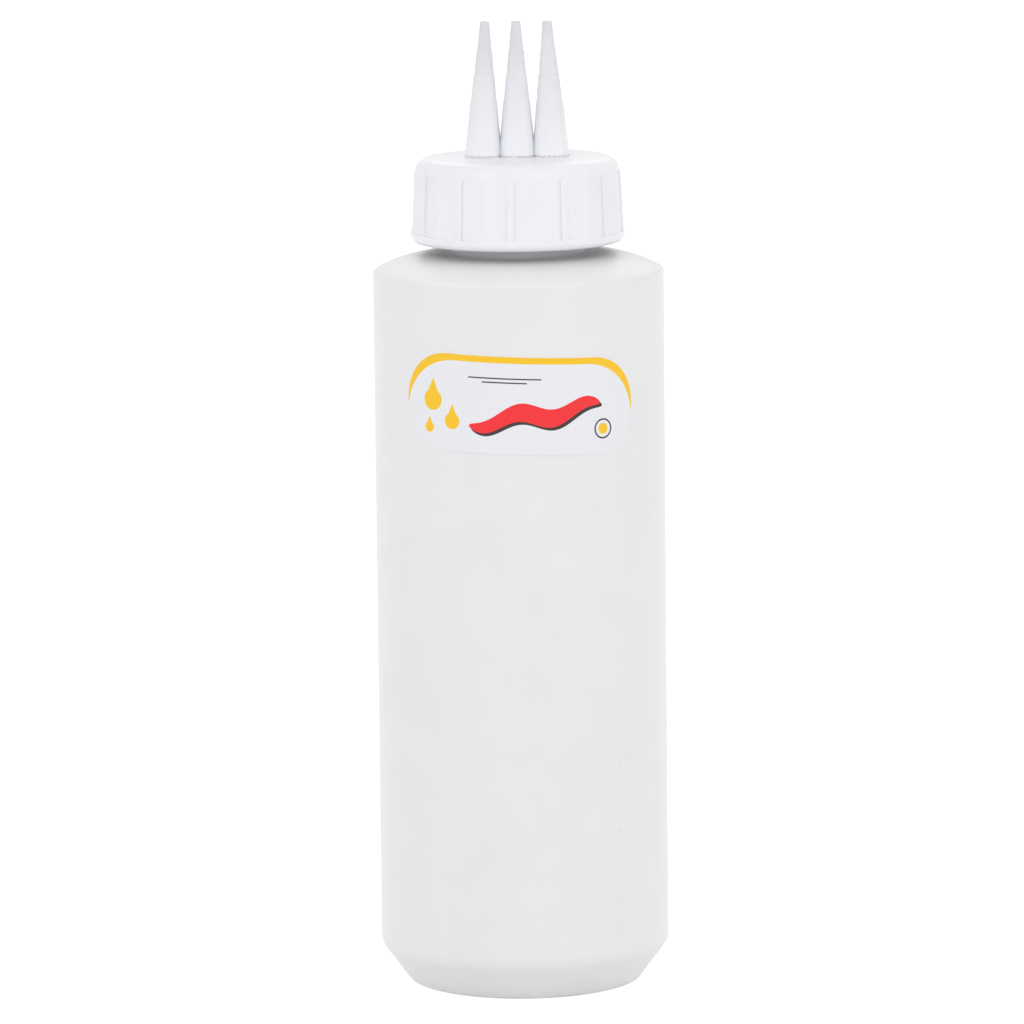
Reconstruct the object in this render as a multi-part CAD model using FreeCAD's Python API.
import FreeCAD, Part
import math
import os

# Squeeze bottle for sauce, in millimetres.  A blow moulded bottle stands on z = 0 around the
# Z axis, a screw cap with three pouring nozzles closes its neck, and a sticker faces -Y.

# Bottle: outside form
body_diameter = 72.0
shoulder_edge_height = 178.2     # top of the straight wall
shoulder_rise = 4.3              # from that edge up to the root of the neck
crown_diameter = 40.0            # level ring round the neck, where the shoulder's arc ends
shoulder_edge_rounding = 1.2
foot_diameter = 57.6
heel_height = 9.6                # sloping heel between the foot and the straight wall
heel_rounding = 5.0
foot_rounding = 1.8
standing_band = 2.4              # width of the flat ring that the bottle stands on
push_up = 3.6                    # how far the base is domed inwards

# Bottle: walls
wall = 1.2
base_wall = 1.9

# Pinch-off seam under the base
seam_length = 38.0
seam_width = 1.0
seam_height = 0.7

# Neck
neck_waist_diameter = 31.6
neck_root_rounding = 1.0
waist_height = 4.2
finish_diameter = 35.0
finish_height = 17.4
finish_slope = 1.2               # height of the cone between waist and finish
neck_bore = 28.8
lip_rounding = 0.5

# Cap: outside form
cap_skirt_depth = 18.95          # from the sealing face down to the lower edge
cap_plate = 2.1
cap_edge_rounding = 4.6
cap_draft = 0.9                  # how much smaller the grip's radius is at the top
cap_ring_height = 2.6            # plain ring at the lower edge, the widest place
cap_ring_rounding = 1.8
grip_facets = 12
grip_turn = -4.0                 # degrees from -Y to the middle of the nearest facet
rib_width = 1.3
rib_proud = 0.6

# Cap: inside
collar_clearance = 0.9           # room for the thread between neck and collar
collar_wall = 1.5
skirt_gap = 4.7                  # between the threaded collar and the outer skirt
skirt_wall = 1.9
collar_depth = 14.0
plug_clearance = 0.15
plug_wall = 1.0
plug_depth = 3.5

# Nozzles
nozzle_count = 3
nozzle_margin = 1.35             # from the outermost nozzle bore to the plug
nozzle_lean = 1.25               # degrees, outer nozzles towards the middle one
nozzle_length = 33.3
nozzle_base_diameter = 9.2
nozzle_tip_diameter = 2.3
nozzle_base_wall = 1.1
nozzle_tip_wall = 0.5
cut_marks = (7.0, 13.2, 19.3)    # below the tip: steps where the nozzle may be cut wider
cut_step = 0.12                  # growth in radius at each mark
cut_bevel = 0.12

# Sticker
sticker_width = 61.4             # measured round the wall
sticker_height = 23.8
sticker_corner = 10.5
sticker_thickness = 0.15
sticker_middle_height = 148.7
sticker_tilt = -2.2              # degrees, its right end hangs lower

# Places that follow from the sizes above
body_radius = body_diameter / 2
foot_radius = foot_diameter / 2
bore_radius = neck_bore / 2
crown_radius = crown_diameter / 2
waist_radius = neck_waist_diameter / 2
finish_radius = finish_diameter / 2
crown_height = shoulder_edge_height + shoulder_rise
finish_bottom = crown_height + waist_height
neck_top = finish_bottom + finish_height
cap_top = neck_top + cap_plate
cap_bottom = neck_top - cap_skirt_depth
collar_radius = finish_radius + collar_clearance
ring_radius = collar_radius + collar_wall + skirt_gap + skirt_wall
grip_top_radius = ring_radius - cap_draft
grip_bottom = cap_bottom + cap_ring_height
plug_radius = bore_radius - plug_clearance
root_bore_radius = nozzle_base_diameter / 2 - nozzle_base_wall
tip_bore_radius = nozzle_tip_diameter / 2 - nozzle_tip_wall
nozzle_reach = plug_radius - plug_wall - nozzle_margin - root_bore_radius
nozzle_pitch = 2 * nozzle_reach / (nozzle_count - 1)

AXIS = FreeCAD.Vector(0, 0, 1)
ORIGIN = FreeCAD.Vector(0, 0, 0)
PROFILE_PLANE = Part.Plane(ORIGIN, FreeCAD.Vector(0, -1, 0))
OVERLAP = 0.5                    # how far cutting and joined shapes run into each other


def at(radius, height):
    """Point of a profile, in the plane through the axis."""
    return FreeCAD.Vector(radius, 0, height)


def chain(points):
    """Straight edges from point to point of (radius, height) pairs."""
    return [Part.makeLine(at(*a), at(*b)) for a, b in zip(points, points[1:])]


def arc(start, middle, end):
    return Part.Arc(at(*start), at(*middle), at(*end)).toShape()


def revolve(edges, roundings=()):
    """Solid swept round the axis by a closed profile; each corner after an edge may be rounded."""
    edges = list(edges)
    blends = []
    for index, radius in enumerate(roundings):
        if radius:
            fillet = Part.ChFi2d.AnaFilletAlgo(edges[index], edges[index + 1], PROFILE_PLANE)
            fillet.perform(radius)
            blend, edges[index], edges[index + 1] = fillet.result()
            blends.append(blend)
    outline = Part.Wire(Part.sortEdges(edges + blends)[0])
    return Part.Face(outline).revolve(ORIGIN, AXIS, 360)


def turned(points, roundings=()):
    """Solid of revolution whose profile is the closed polygon of these points."""
    return revolve(chain(list(points) + [points[0]]), roundings)


def tube(outer, inner, bottom, top):
    return turned([(inner, bottom), (outer, bottom), (outer, top), (inner, top)])


# ---------------------------------------------------------------- bottle

def heel_line(inset):
    """Slope of the heel, and its radius at z = 0, for a skin that lies inset inside the outer one."""
    slope = (body_radius - foot_radius) / heel_height
    return slope, foot_radius - inset * math.hypot(1, slope)


def shoulder_arc(inset):
    """Arc of the shoulder for a skin, from its side to the crown, where it is level."""
    run = body_radius - crown_radius
    outer = (run ** 2 + shoulder_rise ** 2) / (2 * shoulder_rise)
    centre = crown_height - outer

    def point(radius):
        return radius, centre + math.sqrt((outer - inset) ** 2 - (radius - crown_radius) ** 2)

    side = body_radius - inset
    return point(side), point((side + crown_radius) / 2), point(crown_radius)


def base_dome(radius, floor):
    """Arc of the domed base, from the axis out to the flat band."""
    sphere = (radius ** 2 + push_up ** 2) / (2 * push_up)
    middle = floor + push_up - sphere + math.sqrt(sphere ** 2 - radius ** 2 / 4)
    return (0, floor + push_up), (radius / 2, middle), (radius, floor)


def body_skin(inset, floor, neck, neck_roundings):
    """Solid inside one skin of the bottle, from its domed base up through the neck's points."""
    slope, heel_start = heel_line(inset)
    side = body_radius - inset
    dome = base_dome(foot_radius - foot_rounding - standing_band - inset, floor)
    shoulder = shoulder_arc(inset)
    heel = [(heel_start + slope * floor, floor), (side, (side - heel_start) / slope)]
    edges = [arc(*dome)]
    edges += chain([dome[-1]] + heel + [shoulder[0]])
    edges.append(arc(*shoulder))
    edges += chain([shoulder[-1]] + neck + [dome[0]])
    body_roundings = [0, foot_rounding, heel_rounding - inset, shoulder_edge_rounding]
    return revolve(edges, body_roundings + neck_roundings)


def pinch_off_seam():
    """Low ridge across the domed base, where the mould closed the tube of plastic."""
    bar = Part.makeBox(seam_length, seam_width, push_up + OVERLAP)
    bar.translate(FreeCAD.Vector(-seam_length / 2, -seam_width / 2, 0))
    radius = foot_radius - foot_rounding - standing_band
    sphere = (radius ** 2 + push_up ** 2) / (2 * push_up)
    hollow = Part.makeSphere(sphere, at(0, push_up - seam_height - sphere))
    return bar.cut(hollow)


def bottle():
    outside = body_skin(0, 0, [
        (waist_radius, crown_height),
        (waist_radius, finish_bottom - finish_slope),
        (finish_radius, finish_bottom),
        (finish_radius, neck_top),
        (0, neck_top),
    ], [0, neck_root_rounding, 0, 0, lip_rounding])
    inside = body_skin(wall, base_wall, [
        (bore_radius, crown_height - wall),
        (bore_radius, neck_top + OVERLAP),
        (0, neck_top + OVERLAP),
    ], [0, neck_root_rounding])
    return outside.cut(inside).fuse(pinch_off_seam()).removeSplitter()


# ---------------------------------------------------------------- cap

def cap_core():
    """Round outside of the cap: straight drafted side, rounded top edge and lower ring."""
    return turned([
        (0, cap_bottom),
        (ring_radius, cap_bottom),
        (ring_radius, grip_bottom),
        (grip_top_radius, cap_top),
        (0, cap_top),
    ], [cap_ring_rounding, 0, cap_edge_rounding])


def regular_polygon(radius, height):
    """Wire of the grip's facets at one height; radius is to the corners."""
    corners = []
    for index in range(grip_facets + 1):
        angle = math.radians(grip_turn - 90 + (index + 0.5) * 360 / grip_facets)
        corners.append(FreeCAD.Vector(radius * math.cos(angle), radius * math.sin(angle), height))
    return Part.makePolygon(corners)


def faceted_grip():
    """Twelve-sided taper that flattens the round side above the ring."""
    taper = Part.makeLoft([
        regular_polygon(ring_radius, grip_bottom),
        regular_polygon(grip_top_radius, cap_top),
    ], True, True)
    ring = Part.makeCylinder(body_radius, grip_bottom - cap_bottom, at(0, cap_bottom))
    return cap_core().common(taper.fuse(ring))


def grip_rib(index):
    """Upright rib with a rounded top end, in the middle of one facet."""
    facet = math.cos(math.pi / grip_facets)
    low = ring_radius * facet
    high = grip_top_radius * facet
    height = cap_top - grip_bottom
    slant = math.degrees(math.atan2(low - high, height))
    length = height - cap_edge_rounding + rib_width / 2
    half = rib_width / 2
    depth = rib_proud + OVERLAP
    stem = Part.makeBox(depth, rib_width, length + OVERLAP, FreeCAD.Vector(-OVERLAP, -half, -OVERLAP))
    end = Part.makeCylinder(half, depth, FreeCAD.Vector(-OVERLAP, 0, length), FreeCAD.Vector(1, 0, 0))
    rib = stem.fuse(end)
    rib.rotate(ORIGIN, FreeCAD.Vector(0, 1, 0), -slant)
    rib.translate(at(low, grip_bottom))
    rib.rotate(ORIGIN, AXIS, grip_turn - 90 + index * 360 / grip_facets)
    return rib


def cap_cavity():
    """Space between the outer skirt and the threaded collar, and the space inside the collar."""
    side = ring_radius - skirt_wall
    top = grip_top_radius * math.cos(math.pi / grip_facets) - skirt_wall
    return turned([
        (0, cap_bottom - OVERLAP),
        (side, cap_bottom - OVERLAP),
        (side, grip_bottom),
        (top, neck_top),
        (0, neck_top),
    ], [0, 0, cap_edge_rounding - skirt_wall])


def collar():
    """Threaded sleeve that grips the neck's finish."""
    return tube(collar_radius + collar_wall, collar_radius, neck_top - collar_depth, neck_top + OVERLAP)


def plug():
    """Sealing ring that reaches into the bore."""
    return tube(plug_radius, plug_radius - plug_wall, neck_top - plug_depth, neck_top + OVERLAP)


def nozzle_profile(tip_radius, base_radius, steps):
    """Profile points of a cone from tip to base; it widens suddenly at each cut mark."""
    growth = len(steps) * cut_step
    slope = (base_radius - tip_radius - growth) / nozzle_length
    points = [(tip_radius, nozzle_length)]
    for number, mark in enumerate(steps):
        radius = tip_radius + slope * mark + number * cut_step
        points.append((radius, nozzle_length - mark))
        points.append((radius + cut_step + slope * cut_bevel, nozzle_length - mark - cut_bevel))
    points.append((base_radius + slope * OVERLAP, -OVERLAP))
    return points


def nozzle_place(shape, index):
    """Lean a nozzle towards the middle and set it in its row on the cap."""
    place = index - (nozzle_count - 1) / 2
    placed = shape.copy()
    placed.rotate(ORIGIN, FreeCAD.Vector(0, 1, 0), -place * nozzle_lean)
    placed.translate(FreeCAD.Vector(place * nozzle_pitch, 0, cap_top))
    return placed


def nozzle_outside():
    points = nozzle_profile(nozzle_tip_diameter / 2, nozzle_base_diameter / 2, cut_marks)
    return turned([(0, nozzle_length)] + points + [(0, -OVERLAP)])


def nozzle_bore():
    """Tapered way through a nozzle and through the plate below it."""
    top = nozzle_length + OVERLAP
    bottom = -cap_plate - OVERLAP
    return turned([
        (0, top),
        (tip_bore_radius, top),
        (tip_bore_radius, nozzle_length),
        (root_bore_radius, 0),
        (root_bore_radius, bottom),
        (0, bottom),
    ])


def cap():
    body = faceted_grip()
    body = body.fuse([grip_rib(index) for index in range(grip_facets)])
    body = body.cut(cap_cavity())
    body = body.fuse([collar(), plug()])
    body = body.fuse([nozzle_place(nozzle_outside(), index) for index in range(nozzle_count)])
    body = body.cut([nozzle_place(nozzle_bore(), index) for index in range(nozzle_count)])
    return body.removeSplitter()


# ---------------------------------------------------------------- sticker

def sticker_corner_points(side, level, points=7):
    """Quarter circle at one corner of the flat sticker, going anticlockwise."""
    start = {(1, 1): 0, (-1, 1): 90, (-1, -1): 180, (1, -1): 270}[side, level]
    centre_x = side * (sticker_width / 2 - sticker_corner)
    centre_y = level * (sticker_height / 2 - sticker_corner)
    corner = []
    for step in range(points):
        angle = math.radians(start + 90 * step / (points - 1))
        corner.append((centre_x + sticker_corner * math.cos(angle),
                       centre_y + sticker_corner * math.sin(angle)))
    return corner


def wrapped(point):
    """Flat sticker coordinates, tilted, as angle and height on the body's cylinder."""
    tilt = math.radians(sticker_tilt)
    across = point[0] * math.cos(tilt) - point[1] * math.sin(tilt)
    up = point[0] * math.sin(tilt) + point[1] * math.cos(tilt)
    return FreeCAD.Base.Vector2d(1.5 * math.pi + across / body_radius, sticker_middle_height + up)


def sticker():
    """Thin sheet laid on the wall, with an outline of four straight sides and round corners."""
    wall_surface = Part.Cylinder()
    wall_surface.Radius = body_radius
    corners = [sticker_corner_points(*place) for place in ((1, 1), (-1, 1), (-1, -1), (1, -1))]
    edges = []
    for corner, following in zip(corners, corners[1:] + corners[:1]):
        curve = Part.Geom2d.BSplineCurve2d()
        curve.interpolate([wrapped(point) for point in corner])
        edges.append(curve.toShape(wall_surface))
        side = Part.Geom2d.Line2dSegment(wrapped(corner[-1]), wrapped(following[0]))
        edges.append(side.toShape(wall_surface))
    sheet = Part.Face(wall_surface, Part.Wire(edges))
    return sheet.makeOffsetShape(sticker_thickness, 1e-4, fill=True)


os.makedirs("parts", exist_ok=True)
for name, build in (("bottle", bottle), ("cap", cap), ("label", sticker)):
    shape = build()
    shape.exportStep("parts/" + name + ".step")
    print(name, "solids", len(shape.Solids), "valid", shape.isValid(), "volume", round(shape.Volume, 1))
